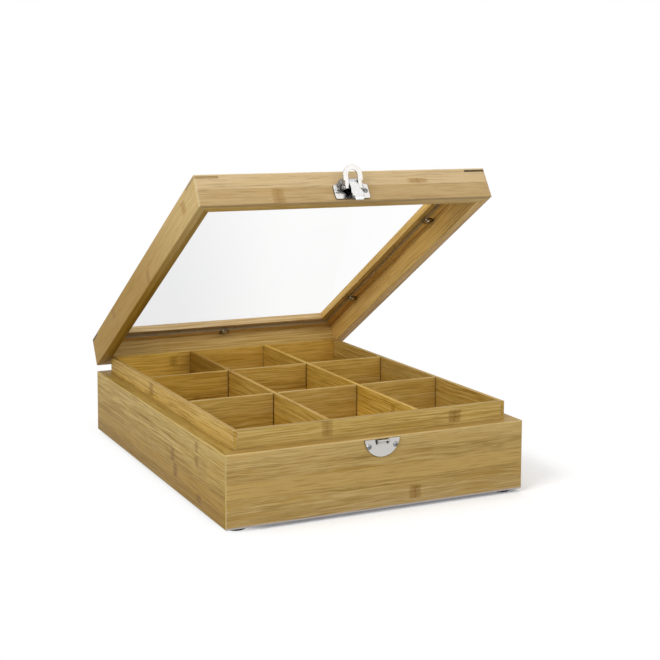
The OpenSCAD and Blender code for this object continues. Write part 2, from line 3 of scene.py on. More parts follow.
import logging
import math
from dataclasses import dataclass
from enum import Enum

import bpy
from mathutils import Euler, Matrix, Vector

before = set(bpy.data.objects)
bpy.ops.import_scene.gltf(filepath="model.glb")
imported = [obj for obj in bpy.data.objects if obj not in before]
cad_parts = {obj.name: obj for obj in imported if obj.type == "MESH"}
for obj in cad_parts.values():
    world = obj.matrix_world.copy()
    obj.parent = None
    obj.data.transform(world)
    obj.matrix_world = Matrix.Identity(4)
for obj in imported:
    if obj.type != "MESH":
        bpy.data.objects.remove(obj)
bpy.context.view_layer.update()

LOG = logging.getLogger("tea_box")

Colour = tuple[float, float, float]
Place = tuple[float, float, float]
Span = tuple[float, float]
Socket = bpy.types.NodeSocket
MM = 0.001

BEVEL_SAMPLES = 6
NOISE_MIDDLE = 0.5
NEUTRAL: Colour = (1.0, 1.0, 1.0)
LID_OPEN = math.radians(31.5)
LID_PIN = Vector((0.0, 0.14681, 0.0525))


class Axis(Enum):
    """A direction of the row frame, by its place in a vector."""

    X = 0
    Y = 1
    Z = 2


class Side(Enum):
    """A side of the box, as node names give it."""

    LEFT = "left"
    RIGHT = "right"


class Run(Enum):
    """Which way a change of shade runs over a board."""

    ALONG_GRAIN = "along"
    ACROSS_STRIPS = "across"


class Turned(Enum):
    """What is turned with the lid, by the name that the Mapping node has for it."""

    PLACE = "POINT"
    DIRECTION = "VECTOR"


def scaled(values: tuple[float, ...], factor: float) -> tuple[float, ...]:
    """Multiplies each value of a span or colour."""
    return tuple(factor * value for value in values)


def stretched(middle: Colour, tint: Colour, contrast: float) -> Colour:
    """Moves a tint away from the middle one, to a share of the way between the two."""
    return tuple(max(0.0, start + contrast * (part - start)) for start, part in zip(middle, tint))


# ---- Node building ------------------------------------------------------------------------------


@dataclass(frozen=True)
class Speckle:
    """The scale of a noise, its octaves, and how strong the finer ones are."""

    scale: float
    detail: float
    roughness: float = 0.5


class Shade:
    """One node tree, with short calls for the nodes that the finishes share."""

    def __init__(self, owner: bpy.types.Material | bpy.types.World, output: str = "OutputMaterial") -> None:
        """Starts an empty tree.

        Args:
            owner: The material or world that the tree belongs to.
            output: The type of its output node.
        """
        owner.use_nodes = True
        self.owner = owner
        self.tree = owner.node_tree
        self.tree.nodes.clear()
        self.output = self.node(output)

    def node(self, kind: str, inputs: dict[int | str, object] | None = None, **settings: object) -> bpy.types.Node:
        """Adds a node.

        Args:
            kind: The node's type, without its ShaderNode prefix.
            inputs: What its inputs are fed, by their places or names.
            settings: Properties to set on it.

        Returns:
            The new node.
        """
        made = self.tree.nodes.new("ShaderNode" + kind)
        for key, value in settings.items():
            setattr(made, key, value)
        for key, value in (inputs or {}).items():
            self.feed(made.inputs[key], value)
        return made

    def feed(self, target: Socket, value: object) -> None:
        """Links a socket to an input, or sets the input's own value.

        Args:
            target: The input.
            value: An output socket, a number, a vector or a colour.
        """
        if isinstance(value, Socket):
            self.tree.links.new(value, target)
        elif isinstance(value, tuple) and len(value) == 3 and target.type == "RGBA":
            target.default_value = (*value, 1.0)
        else:
            target.default_value = value

    def plus(self, first: object, second: object) -> Socket:
        """Adds two values."""
        return self.node("Math", {0: first, 1: second}, operation="ADD").outputs[0]

    def minus(self, first: object, second: object) -> Socket:
        """Takes the second value from the first."""
        return self.node("Math", {0: first, 1: second}, operation="SUBTRACT").outputs[0]

    def times(self, first: object, second: object) -> Socket:
        """Multiplies two values."""
        return self.node("Math", {0: first, 1: second}, operation="MULTIPLY").outputs[0]

    def over(self, first: object, second: object) -> Socket:
        """Divides the first value by the second."""
        return self.node("Math", {0: first, 1: second}, operation="DIVIDE").outputs[0]

    def larger(self, first: object, second: object) -> Socket:
        """Gives the larger of two values."""
        return self.node("Math", {0: first, 1: second}, operation="MAXIMUM").outputs[0]

    def size(self, value: object) -> Socket:
        """Drops the sign of a value."""
        return self.node("Math", {0: value}, operation="ABSOLUTE").outputs[0]

    def whole(self, value: object) -> Socket:
        """Rounds a value down."""
        return self.node("Math", {0: value}, operation="FLOOR").outputs[0]

    def rest(self, value: object) -> Socket:
        """Gives what rounding down drops."""
        return self.node("Math", {0: value}, operation="FRACT").outputs[0]

    def spread(self, value: Socket, span: Span, ends: Span = (0.0, 1.0)) -> Socket:
        """Maps a span of a value onto what lies between two ends, smoothly and clamped."""
        inputs = dict(enumerate((value, *span, *ends)))
        return self.node("MapRange", inputs, interpolation_type="SMOOTHSTEP").outputs[0]

    def noise(self, vector: Socket, speckle: Speckle) -> Socket:
        """Adds a noise texture at a place."""
        inputs = {"Scale": speckle.scale, "Detail": speckle.detail, "Roughness": speckle.roughness}
        return self.node("TexNoise", {"Vector": vector, **inputs}).outputs["Fac"]

    def ramp(self, factor: Socket, stops: tuple[tuple[float, Colour], ...]) -> Socket:
        """Adds a colour ramp.

        Args:
            factor: Where to read it.
            stops: Positions and their colours.

        Returns:
            The colour.
        """
        made = self.node("ValToRGB", {"Fac": factor})
        elements = made.color_ramp.elements
        while len(elements) < len(stops):
            elements.new(1.0)
        for element, (position, colour) in zip(elements, stops):
            element.position = position
            element.color = (*colour, 1.0)
        return made.outputs["Color"]

    def blend(self, share: object, first: object, second: object) -> Socket:
        """Mixes two colours by the share of the second one."""
        return self.node("Mix", {0: share, 6: first, 7: second}, data_type="RGBA", blend_type="MIX").outputs[2]

    def toned(self, share: object, colour: object, tone: object) -> Socket:
        """Takes a colour a share of the way to its product with a tone."""
        return self.node("Mix", {0: share, 6: colour, 7: tone}, data_type="RGBA", blend_type="MULTIPLY").outputs[2]

    def tinge(self, colour: object, tint: object, value: Socket, span: Span, share: float = 1.0) -> Socket:
        """Lays a tint over a colour, from none to a share of it as a value goes through a span."""
        return self.blend(self.spread(value, span, (0.0, share)), colour, tint)

    def place(self) -> Socket:
        """Gives a point's place in the row frame, with the lid as it is stored."""
        return self.node("TexCoord").outputs["Object"]

    def facing(self) -> Socket:
        """Gives the way that a point faces in the row frame, with the lid as it is stored."""
        return self.node("TexCoord").outputs["Normal"]

    def vector(self, x: object, y: object, z: object) -> Socket:
        """Joins three values into a vector."""
        return self.node("CombineXYZ", {0: x, 1: y, 2: z}).outputs[0]

    def parts(self, vector: Socket) -> tuple[Socket, Socket, Socket]:
        """Splits a vector or a colour into its three numbers."""
        return tuple(self.node("SeparateXYZ", {0: vector}).outputs)

    def dot(self, first: object, second: object) -> Socket:
        """Multiplies two vectors into a number."""
        return self.node("VectorMath", {0: first, 1: second}, operation="DOT_PRODUCT").outputs["Value"]

    def rounded_normal(self, radius: float) -> Socket:
        """Gives the surface's normal with sharp edges eased to a radius in metres."""
        return self.node("Bevel", {"Radius": radius}, samples=BEVEL_SAMPLES).outputs[0]

    def edge_match(self, rounded: Socket) -> Socket:
        """Compares a rounded normal with the true one: 1 on a face, and less at an edge."""
        return self.dot(rounded, self.node("NewGeometry").outputs["Normal"])

    def open_air(self, distance: float, samples: int) -> Socket:
        """Finds the share of the ways from a point that are open for a distance in metres."""
        return self.node("AmbientOcclusion", {"Distance": distance}, samples=samples, only_local=False).outputs["AO"]

    def bump(self, height: Socket, distance: float, strength: float, normal: Socket | None = None) -> Socket:
        """Adds a bump node.

        Args:
            height: The height map.
            distance: The depth that a height of 1 stands for.
            strength: The bump's strength.
            normal: The normal that it starts from.

        Returns:
            The bumped normal.
        """
        inputs = {"Height": height, "Distance": distance, "Strength": strength}
        if normal is not None:
            inputs["Normal"] = normal
        return self.node("Bump", inputs).outputs[0]

    def join(self, share: Socket, first: bpy.types.Node, second: bpy.types.Node) -> bpy.types.Node:
        """Mixes two shaders by the share of the second one."""
        return self.node("MixShader", {0: share, 1: first.outputs[0], 2: second.outputs[0]})

    def show(self, shader: bpy.types.Node) -> None:
        """Puts a shader on the surface."""
        self.feed(self.output.inputs["Surface"], shader.outputs[0])


# ---- Bamboo -------------------------------------------------------------------------------------


@dataclass(frozen=True)
class Mark:
    """A bamboo node on one strip: where it lies along and across the board, and its size."""

    along: float
    across: float
    height: float = 9.0 * MM
    length: float = 7.0 * MM
    strength: float = 0.6


@dataclass(frozen=True)
class Fade:
    """A slow change of colour over a board, across its strips or along its grain: partly the board's own tone and
    partly painted light and shade.
    """

    tone: Colour
    start: float
    end: float
    run: Run = Run.ACROSS_STRIPS


@dataclass(frozen=True)
class Board:
    """How one bamboo board was cut: its grain, its strips and nodes, and where its colour differs."""

    node: str
    grain: Axis
    edge: float
    strip: float
    rise: Axis = Axis.Z
    on_lid: bool = False
    seed: float = 0.0
    face: float | None = None
    # Height of the pale band painted along a wall's foot as the floor's reflection.
    rubbed_below: float | None = None
    tone: Colour = NEUTRAL
    fade: Fade | None = None
    contrast: float = 1.0
    core_tone: Colour = NEUTRAL
    core_from: float = 1.5 * MM
    sill_tone: Colour = NEUTRAL
    marks: tuple[Mark, ...] = ()

    @property
    def depth(self) -> Axis:
        """The direction that is neither along the grain nor across the strips."""
        return next(axis for axis in Axis if axis not in (self.grain, self.rise))


@dataclass(frozen=True)
class Tints:
    """The colours of one kind of bamboo."""

    pale: Colour
    middle: Colour
    dark: Colour
    golden: Colour
    mark: Colour


@dataclass(frozen=True)
class Streak:
    """The size of one kind of streak in the grain, in metres, its octaves, and how strong the finer ones are."""

    length: float
    width: float
    detail: float
    roughness: float = 0.62


class Cut:
    """One board in its own node tree: its coordinates, the chances of each strip, its fibres and its pores."""

    def __init__(self, name: str, board: Board, grain: "Grain") -> None:
        """Starts the board's tree.

        Args:
            name: The material's name.
            board: The board.
            grain: The scale of its grain.
        """
        self.board = board
        self.shade = shade = Shade(bpy.data.materials.new(name))
        places = shade.parts(self._lid_shut(shade.place(), Turned.PLACE))
        self.along, self.level, self.depth = (places[axis.value] for axis in (board.grain, board.rise, board.depth))
        self.strip = shade.over(shade.minus(self.level, board.edge), board.strip)
        layer = shade.whole(shade.over(self.depth, grain.layer))
        chance = shade.node("TexWhiteNoise", {"Vector": shade.vector(shade.whole(self.strip), layer, board.seed)},
                            noise_dimensions="3D")
        self.darkness, self.hue, length_shift = shade.parts(chance.outputs["Color"])
        self.shift = shade.plus(shade.times(length_shift, grain.strip_shift), board.seed)
        bend = shade.noise(shade.vector(shade.over(self.along, grain.curl_length), self.shift, 0.0), grain.curl_noise)
        self.across = shade.plus(self.level, shade.times(shade.minus(bend, NOISE_MIDDLE), 2.0 * grain.curl))
        self.fibres = self.streaks(grain.fibre)
        self.pores = self.streaks(grain.pore)

    def _lid_shut(self, vector: Socket, turned: Turned) -> Socket:
        """Turns what belongs to a lid board to where it is with the lid shut.

        Args:
            vector: A place or a direction, with the lid as it is stored.
            turned: Which of the two it is.

        Returns:
            The turned vector, or the same one if the board isn't on the lid.
        """
        if not self.board.on_lid:
            return vector
        inputs = {"Vector": vector, "Rotation": Euler((LID_OPEN, 0.0, 0.0))}
        if turned is Turned.PLACE:
            inputs["Location"] = LID_PIN - Matrix.Rotation(LID_OPEN, 3, "X") @ LID_PIN
        return self.shade.node("Mapping", inputs, vector_type=turned.value).outputs[0]

    def normal(self) -> tuple[Socket, Socket, Socket]:
        """Gives the normal's three numbers. Those of the lid's boards are taken with the lid shut."""
        return self.shade.parts(self._lid_shut(self.shade.facing(), Turned.DIRECTION))

    def streaks(self, streak: Streak) -> Socket:
        """Makes noise that is drawn out along the grain.

        Args:
            streak: The streaks' size.

        Returns:
            The noise, about 0.5.
        """
        shade = self.shade
        drawn = shade.vector(shade.plus(shade.over(self.along, streak.length), self.shift),
                             shade.over(self.across, streak.width), shade.over(self.depth, streak.width))
        return shade.noise(drawn, Speckle(1.0, streak.detail, streak.roughness))


@dataclass(frozen=True)
class Grain:
    """The scale of the fibres, pores, clouds and patches, and how strongly they show."""

    fibre: Streak = Streak(62.0 * MM, 1.15 * MM, 5.0)
    fine: Streak = Streak(26.0 * MM, 0.62 * MM, 3.0)
    pore: Streak = Streak(24.0 * MM, 0.65 * MM, 2.0)
    cloud: Streak = Streak(160.0 * MM, 14.0 * MM, 2.0)
    patch: Streak = Streak(38.0 * MM, 6.0 * MM, 3.0)
    fibre_part: float = 0.6
    fine_part: float = 0.4
    dark_stop: float = 0.41
    middle_stop: float = 0.488
    pale_stop: float = 0.565
    cloud_span: Span = (0.40, 0.66)
    cloud_share: float = 0.45
    golden_span: Span = (0.50, 0.66)
    dark_span: Span = (0.46, 0.32)
    patchiness: float = 0.35
    pore_span: Span = (0.53, 0.66)
    pore_share: float = 0.45
    pore_tone: float = 0.65
    layer: float = 4.75 * MM
    curl: float = 1.6 * MM
    curl_length: float = 45.0 * MM
    curl_noise: Speckle = Speckle(1.0, 2.0)
    strip_shift: float = 7.0

    def colour(self, cut: Cut, tints: Tints) -> Socket:
        """Colours the fibres, clouds and patches.

        Args:
            cut: The board's tree.
            tints: The bamboo's colours.

        Returns:
            The colour.
        """
        shade = cut.shade
        mixed = shade.plus(shade.times(cut.fibres, self.fibre_part),
                           shade.times(cut.streaks(self.fine), self.fine_part))
        pale, dark = (stretched(tints.middle, part, cut.board.contrast) for part in (tints.pale, tints.dark))
        stops = ((self.dark_stop, dark), (self.middle_stop, tints.middle), (self.pale_stop, pale))
        patches = cut.streaks(self.patch)
        colour = shade.ramp(mixed, stops)
        colour = shade.tinge(colour, tints.pale, cut.streaks(self.cloud), self.cloud_span, self.cloud_share)
        colour = shade.tinge(colour, tints.golden, patches, self.golden_span, self.patchiness)
        return shade.tinge(colour, tints.dark, patches, self.dark_span, self.patchiness)


@dataclass(frozen=True)
class Strips:
    """How far the glued strips differ, and the line between two of them."""

    golden_span: Span = (0.35, 1.0)
    golden_share: float = 0.55
    dark_span: Span = (0.45, 1.0)
    pale_span: Span = (0.45, 0.0)
    tone_share: float = 0.38
    contrast: float = 1.0
    line_span: Span = (0.478, 0.5)
    line_share: float = 0.30

    def colour(self, cut: Cut, colour: Socket, tints: Tints) -> Socket:
        """Gives each strip a shade of its own.

        Args:
            cut: The board's tree.
            colour: The colour so far.
            tints: The bamboo's colours.

        Returns:
            The new colour.
        """
        tone_share = self.tone_share * self.contrast
        colour = cut.shade.tinge(colour, tints.golden, cut.hue, self.golden_span, self.golden_share * self.contrast)
        colour = cut.shade.tinge(colour, tints.dark, cut.darkness, self.dark_span, tone_share)
        return cut.shade.tinge(colour, tints.pale, cut.darkness, self.pale_span, tone_share)

    def lines(self, cut: Cut, colour: Socket, tints: Tints) -> Socket:
        """Draws the glue lines, half a strip from each strip's middle, over the colour so far."""
        from_middle = cut.shade.size(cut.shade.minus(cut.shade.rest(cut.strip), 0.5))
        return cut.shade.tinge(colour, tints.dark, from_middle, self.line_span, self.line_share)


@dataclass(frozen=True)
class Marking:
    """How a bamboo node looks: a mottled patch on one strip, with a thin ragged line in it."""

    raggedness: float = 0.6
    side_span: Span = (0.42, 0.52)
    patch_span: Span = (0.32, 0.62)
    patch_share: float = 0.75
    line_span: Span = (0.4 * MM, 1.3 * MM)
    line_share: float = 0.30
    mottle_span: Span = (0.3, 0.6)
    mottle_shares: Span = (0.6, 1.0)

    def share(self, cut: Cut, mark: Mark) -> Socket:
        """Draws one mark.

        Args:
            cut: The board's tree.
            mark: The mark's place and size.

        Returns:
            How strongly the mark shows.
        """
        shade = cut.shade
        ragged = shade.times(shade.minus(cut.fibres, NOISE_MIDDLE), self.raggedness * mark.length)
        offset = shade.size(shade.plus(shade.minus(cut.along, mark.along), ragged))
        side = shade.size(shade.minus(cut.level, mark.across))
        inside = shade.spread(side, scaled(self.side_span, mark.height), (1.0, 0.0))
        patch = shade.spread(offset, scaled(self.patch_span, mark.length), (self.patch_share, 0.0))
        line = shade.spread(offset, self.line_span, (self.line_share, 0.0))
        mottled = shade.times(shade.plus(patch, line), shade.spread(cut.pores, self.mottle_span, self.mottle_shares))
        return shade.times(shade.times(mottled, inside), mark.strength)


@dataclass(frozen=True)
class WearAndPaintedLight:
    """Where the lacquer is thinned by use, and where light and shade are painted: sheen on edges, the floor's
    reflection on undersides and along the foot, and shade in creases; with their colours.
    """

    # Sharp edges: lacquer thinned by use, with a painted sheen of the surroundings on them.
    worn_and_sheen: Colour = (0.440, 0.385, 0.245)
    edge_radius: float = 0.80 * MM
    edge_span: Span = (0.78, 0.99)
    edge_share: float = 0.60
    # Rounded edges that do not face down: a painted highlight, partly lacquer thinned by hands.
    eased: Colour = (0.640, 0.500, 0.255)
    eased_highlight_share: float = 0.4
    flat_span: Span = (0.985, 0.85)
    upward_span: Span = (-0.25, -0.05)
    # Faces of the base that turn down: a painted reflection of the bright floor.
    underside_floor_sheen: Colour = (0.40, 0.335, 0.245)
    underside_span: Span = (-0.15, -0.75)
    underside_share: float = 0.7
    # The pale band along the walls' foot: a painted reflection of the floor.
    rubbed: Colour = (0.560, 0.490, 0.360)
    floor_sheen_height: float = 0.8 * MM
    rubbed_and_sheen_share: float = 0.8
    # Creases and joints: painted shade where the parts close each other in.
    painted_crease_shade: Colour = (0.110, 0.062, 0.014)
    crease: float = 1.6 * MM
    crease_span: Span = (0.60, 0.20)
    crease_share: float = 0.6
    crease_samples: int = 6

    def edges(self, cut: Cut, colour: Socket, eased: Socket) -> Socket:
        """Pales the sharp edges, as thinned lacquer with a painted sheen; paints a highlight on rounded edges that do
        not face down, partly lacquer thinned by hands; and on the base paints the floor's reflection onto faces that
        turn down.

        Args:
            cut: The board's tree.
            colour: The colour so far.
            eased: The normal with its sharp edges eased.

        Returns:
            The new colour.
        """
        shade = cut.shade
        # Sharp edges are paled: thinned lacquer and a painted sheen.
        thin = shade.spread(shade.edge_match(eased), self.edge_span, (self.edge_share, 0.0))
        colour = shade.blend(thin, colour, self.worn_and_sheen)
        # Rounded edges that do not face down get a painted highlight, partly lacquer thinned by hands.
        normal = cut.normal()
        upward = normal[Axis.Z.value]
        x_size, y_size, z_size = (shade.size(part) for part in normal)
        flat = shade.larger(shade.larger(x_size, y_size), z_size)
        rubbed = shade.times(shade.spread(flat, self.flat_span, (0.0, self.eased_highlight_share)),
                             shade.spread(upward, self.upward_span))
        colour = shade.blend(rubbed, colour, self.eased)
        # Faces of the base that turn down get a painted reflection of the floor.
        if not cut.board.on_lid:
            colour = shade.tinge(colour, self.underside_floor_sheen, upward, self.underside_span, self.underside_share)
        return colour

    def paint_foot_sheen(self, cut: Cut, colour: Socket) -> Socket:
        """Paints a pale band along a wall's foot: a painted reflection of the bright floor.

        Args:
            cut: The board's tree.
            colour: The colour so far.

        Returns:
            The new colour.
        """
        top = cut.board.rubbed_below
        share = cut.shade.spread(cut.level, (top - self.floor_sheen_height, top), (self.rubbed_and_sheen_share, 0.0))
        return cut.shade.blend(share, colour, self.rubbed)

    def creases(self, cut: Cut, colour: Socket) -> Socket:
        """Paints shade into the creases of the colour so far, darker where little of the air round a point is open.
        """
        open_air = cut.shade.open_air(self.crease, self.crease_samples)
        return cut.shade.tinge(colour, self.painted_crease_shade, open_air, self.crease_span, self.crease_share)


@dataclass(frozen=True)
class Core:
    """The darker inner wood that shows behind a rail's pale face, and the sill beyond it."""

    pale: Colour = (0.620, 0.405, 0.112)
    dark: Colour = (0.455, 0.270, 0.056)
    contrast: float = 1.25
    fibre_span: Span = (0.35, 0.62)
    onset: float = 2.5 * MM
    share: float = 0.8
    sill_span: Span = (14.0 * MM, 16.0 * MM)

    def colour(self, cut: Cut, colour: Socket) -> Socket:
        """Colours what lies behind a rail's outer face.

        Args:
            cut: The board's tree.
            colour: The colour so far.

        Returns:
            The new colour.
        """
        shade, board = cut.shade, cut.board
        inward = shade.size(shade.minus(cut.depth, board.face))
        pale, dark = (tuple(part * tone for part, tone in zip(stretched(other, tint, self.contrast), board.core_tone))
                      for other, tint in ((self.dark, self.pale), (self.pale, self.dark)))
        inner = shade.tinge(dark, pale, cut.fibres, self.fibre_span)
        colour = shade.tinge(colour, inner, inward, (board.core_from, board.core_from + self.onset), self.share)
        if board.sill_tone != NEUTRAL:
            colour = shade.toned(shade.spread(inward, self.sill_span), colour, board.sill_tone)
        return colour


@dataclass(frozen=True)
class BambooFinish:
    """Lacquered strip bamboo: glued strips, long fibres, short dark pores and node marks."""

    name: str
    tints: Tints
    grain: Grain = Grain()
    strips: Strips = Strips()
    marking: Marking = Marking()
    wear_and_painted_light: WearAndPaintedLight = WearAndPaintedLight()
    core: Core = Core()
    roughness: float = 0.42
    rougher: float = 0.08
    smoother: float = 0.05
    rough_span: Span = (0.3, 0.7)
    gloss: float = 0.12
    pore_depth: float = 0.8
    relief: float = 0.10 * MM
    relief_strength: float = 0.3

    def material(self, board: Board) -> bpy.types.Material:
        """Makes the material of one board.

        Args:
            board: The board.

        Returns:
            The material.
        """
        cut = Cut(f"{self.name}_{board.node}", board, self.grain)
        shade = cut.shade
        pores = shade.spread(cut.pores, self.grain.pore_span, (0.0, self.grain.pore_share))
        colour = self.strips.colour(cut, self.grain.colour(cut, self.tints), self.tints)
        colour = shade.blend(pores, colour, scaled(self.tints.dark, self.grain.pore_tone))
        colour = self.strips.lines(cut, colour, self.tints)
        for mark in board.marks:
            colour = shade.blend(self.marking.share(cut, mark), colour, self.tints.mark)
        eased = shade.rounded_normal(self.wear_and_painted_light.edge_radius)
        # Edges, undersides and the foot get a painted sheen, highlight and floor reflection, with lacquer thinned by
        # use.
        colour = self.wear_and_painted_light.edges(cut, colour, eased)
        # A pale band along the foot: painted floor reflection.
        if board.rubbed_below is not None:
            colour = self.wear_and_painted_light.paint_foot_sheen(cut, colour)
        if board.face is not None:
            colour = self.core.colour(cut, colour)
        # Painted shade in creases, then the board's own tone.
        colour = shade.toned(1.0, self.wear_and_painted_light.creases(cut, colour), board.tone)
        if board.fade is not None:
            way = cut.along if board.fade.run is Run.ALONG_GRAIN else cut.level
            colour = shade.toned(shade.spread(way, (board.fade.start, board.fade.end)), colour, board.fade.tone)
        roughness = shade.spread(cut.fibres, self.rough_span,
                                 (self.roughness + self.rougher, self.roughness - self.smoother))
        height = shade.minus(cut.fibres, shade.times(pores, self.pore_depth))
        shade.show(shade.node("BsdfPrincipled", {
            "Base Color": colour, "Roughness": roughness, "Specular IOR Level": self.gloss,
            "Normal": shade.bump(height, self.relief, self.relief_strength, eased)}))
        return shade.owner


# ---- Metal, acrylic and rubber ------------------------------------------------------------------


@dataclass(frozen=True)
class MetalFinish:
    """Plated steel with patches dulled by rubbing, fine pits, painted shade in its creases and, where it is stamped,
    dark edges that are partly the cut steel and partly painted shade.
    """

    name: str
    bright: Colour = (0.74, 0.74, 0.735)
    rubbed: Colour = (0.60, 0.60, 0.595)
    patches: Speckle = Speckle(900.0, 4.0, 0.6)
    rubbed_span: Span = (0.4, 0.75)
    rubbed_and_sheen_share: float = 0.5
    # Painted shade in hollows and creases.
    painted_hollow_shade: Colour = (0.022, 0.022, 0.024)
    crease: float = 8.0 * MM
    crease_span: Span = (0.42, 0.92)
    crease_samples: int = 8
    # Dark lines along sharp edges: partly the cut steel's own colour, partly painted shade.
    sheared_edge_shade: Colour = (0.060, 0.060, 0.062)
    edge_shade_share: float = 0.0
    edge_shade_radius: float = 0.35 * MM
    edge_shade_span: Span = (0.80, 0.985)
    roughness: float = 0.14
    rougher: float = 0.16
    rough_span: Span = (0.35, 0.75)
    pits: Speckle = Speckle(3500.0, 2.0)
    pit_depth: float = 0.01 * MM
    pit_strength: float = 0.4
    edge_radius: float = 0.18 * MM

    def material(self) -> bpy.types.Material:
        """Makes the material.

        Returns:
            The material.
        """
        shade = Shade(bpy.data.materials.new(self.name))
        place = shade.place()
        patches = shade.noise(place, self.patches)
        clean = shade.tinge(self.bright, self.rubbed, patches, self.rubbed_span, self.rubbed_and_sheen_share)
        # Hollows and creases get painted shade, darker where little of the air round a point is open.
        colour = shade.tinge(self.painted_hollow_shade, clean, shade.open_air(self.crease, self.crease_samples), self.crease_span)
        # Sharp edges get dark lines: the cut steel's own colour with painted shade.
        if self.edge_shade_share > 0.0:
            match = shade.edge_match(shade.rounded_normal(self.edge_shade_radius))
            sheared_edge_shade = shade.spread(match, self.edge_shade_span, (self.edge_shade_share, 0.0))
            colour = shade.blend(sheared_edge_shade, colour, self.sheared_edge_shade)
        roughness = shade.spread(patches, self.rough_span, (self.roughness, self.roughness + self.rougher))
        normal = shade.bump(shade.noise(place, self.pits), self.pit_depth, self.pit_strength,
                            shade.rounded_normal(self.edge_radius))
        shade.show(shade.node("BsdfPrincipled", {
            "Base Color": colour, "Metallic": 1.0, "Roughness": roughness, "Normal": normal}))
        return shade.owner


@dataclass(frozen=True)
class PaneFinish:
    """Clear acrylic sheet that light passes through, greying faintly toward one corner, with its edge faces painted
    dark brown as the shade in the gap round the pane.
    """

    name: str = "clear_sheet"
    tint: Colour = (0.995, 0.997, 0.996)
    # The sheet greys a little toward one corner.
    corner_grey: Colour = (0.920, 0.922, 0.925)
    grey_slant: float = -0.45
    grey_span: Span = (12.0 * MM, -125.0 * MM)
    refraction: float = 1.10
    wipes: Speckle = Speckle(14.0, 5.0, 0.7)
    gloss_span: Span = (0.4, 0.8)
    gloss_roughness: Span = (0.02, 0.08)
    # The edge faces: painted shade of the gap round the pane, patchy.
    edge_gap_shade: Colour = (0.280, 0.200, 0.095)
    edge_gap_shade_patches: Colour = (0.360, 0.270, 0.140)
    cut_roughness: float = 0.5
    dust_and_shade_span: Span = (0.3, 0.7)
    upright_span: Span = (0.6, 0.4)

    def material(self) -> bpy.types.Material:
        """Makes the material.

        Returns:
            The material.
        """
        shade = Shade(bpy.data.materials.new(self.name))
        place = shade.place()
        wiped = shade.noise(place, self.wipes)
        x, y, _ = shade.parts(place)
        # The sheet greys a little toward one corner.
        slanted = shade.plus(x, shade.times(y, self.grey_slant))
        clear = shade.node("BsdfTransparent", {"Color": shade.tinge(self.tint, self.corner_grey, slanted, self.grey_span)})
        gloss = shade.node("BsdfGlossy", {"Roughness": shade.spread(wiped, self.gloss_span, self.gloss_roughness)})
        front = shade.minus(1.0, shade.node("NewGeometry").outputs["Backfacing"])
        glancing = shade.node("Fresnel", {"IOR": self.refraction}).outputs[0]
        sheet = shade.join(shade.times(glancing, front), clear, gloss)
        # The edge faces are painted dark brown, as the shade in the gap round the pane.
        dust_and_shade = shade.tinge(self.edge_gap_shade, self.edge_gap_shade_patches, wiped, self.dust_and_shade_span)
        shaded_edge = shade.node("BsdfPrincipled", {"Base Color": dust_and_shade, "Roughness": self.cut_roughness})
        through = Matrix.Rotation(LID_OPEN, 3, "X").inverted() @ Vector((0.0, 0.0, 1.0))
        match = shade.size(shade.dot(shade.facing(), through))
        shade.show(shade.join(shade.spread(match, self.upright_span), sheet, shaded_edge))
        return shade.owner


@dataclass(frozen=True)
class RubberFinish:
    """Matt black rubber with a fine pebbled skin and dust on it."""

    name: str = "black_rubber"
    clean: Colour = (0.012, 0.012, 0.012)
    dust_and_shade: Colour = (0.05, 0.047, 0.043)
    dust: Speckle = Speckle(260.0, 4.0, 0.65)
    dust_and_shade_span: Span = (0.42, 0.75)
    rough_span: Span = (0.3, 0.8)
    roughness: Span = (0.62, 0.85)
    gloss: float = 0.3
    pebbles: Speckle = Speckle(2600.0, 2.0)
    pebble_depth: float = 0.05 * MM
    pebble_strength: float = 0.5

    def material(self) -> bpy.types.Material:
        """Makes the material.

        Returns:
            The material.
        """
        shade = Shade(bpy.data.materials.new(self.name))
        place = shade.place()
        dust = shade.noise(place, self.dust)
        pebbles = shade.noise(place, self.pebbles)
        shade.show(shade.node("BsdfPrincipled", {
            "Base Color": shade.tinge(self.clean, self.dust_and_shade, dust, self.dust_and_shade_span),
            "Roughness": shade.spread(dust, self.rough_span, self.roughness),
            "Specular IOR Level": self.gloss,
            "Normal": shade.bump(pebbles, self.pebble_depth, self.pebble_strength)}))
        return shade.owner


Finish = MetalFinish | PaneFinish | RubberFinish
Dressing = tuple[tuple[Finish, tuple[str, ...]], ...]

OUTER_BAMBOO = BambooFinish(
    "outer_bamboo",
    Tints(pale=(0.575, 0.405, 0.155), middle=(0.455, 0.297, 0.085), dark=(0.300, 0.175, 0.036),
          golden=(0.440, 0.262, 0.046), mark=(0.200, 0.090, 0.010)),
    grain=Grain(patchiness=0.55), strips=Strips(contrast=1.3), wear_and_painted_light=WearAndPaintedLight(worn_and_sheen=(0.600, 0.490, 0.280)))
LID_BAMBOO = BambooFinish(
    "lid_bamboo",
    Tints(pale=(0.620, 0.460, 0.250), middle=(0.525, 0.372, 0.180), dark=(0.375, 0.240, 0.092),
          golden=(0.510, 0.330, 0.110), mark=(0.270, 0.130, 0.020)),
    grain=Grain(patchiness=0.5), strips=Strips(contrast=1.4),
    wear_and_painted_light=WearAndPaintedLight(eased=(0.740, 0.640, 0.430), eased_highlight_share=0.2, crease_share=0.2))
INNER_BAMBOO = BambooFinish(
    "inner_bamboo",
    Tints(pale=(0.610, 0.420, 0.130), middle=(0.505, 0.317, 0.062), dark=(0.325, 0.180, 0.026),
          golden=(0.530, 0.310, 0.045), mark=(0.215, 0.105, 0.010)),
    strips=Strips(contrast=0.7), roughness=0.46)
KEY_GRAIN = Grain(fibre=Streak(62.0 * MM, 0.5 * MM, 5.0), pore=Streak(24.0 * MM, 0.25 * MM, 2.0))
